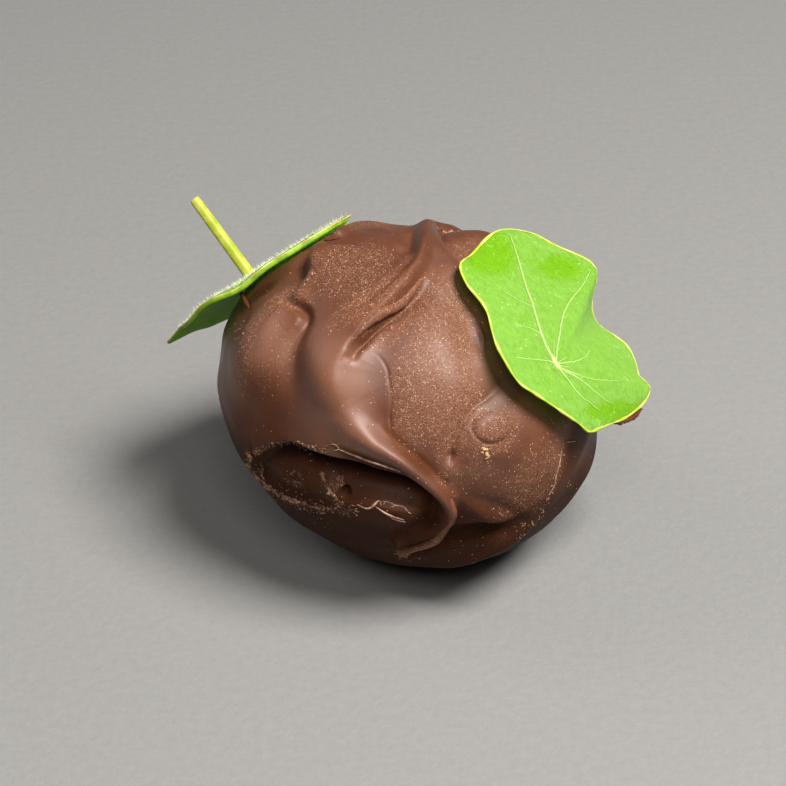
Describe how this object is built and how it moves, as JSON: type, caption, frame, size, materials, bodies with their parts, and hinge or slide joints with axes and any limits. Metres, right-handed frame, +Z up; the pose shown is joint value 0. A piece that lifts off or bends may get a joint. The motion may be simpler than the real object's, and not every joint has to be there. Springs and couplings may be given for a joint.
{
  "type": "chocolate bonbon",
  "caption": "A round hand-dipped chocolate with a folded, hooked coating, a small nasturtium leaf facing out on one side and another with its stalk up on the other.",
  "frame": {"origin": "on the floor, straight under the middle of the chocolate ball", "axes": "+Z up; -Y towards the shown side with the hooked fold; +X towards the leaf that faces out"},
  "size_m": [0.0441, 0.034, 0.0316],
  "materials": {
    "chocolate": "satin set chocolate",
    "leaf_green": "soft fresh leaf"
  },
  "bodies": {
    "root": {"bonbon": "chocolate", "leaf_left": "leaf_green", "leaf_right": "leaf_green"}
  },
  "joints": []
}
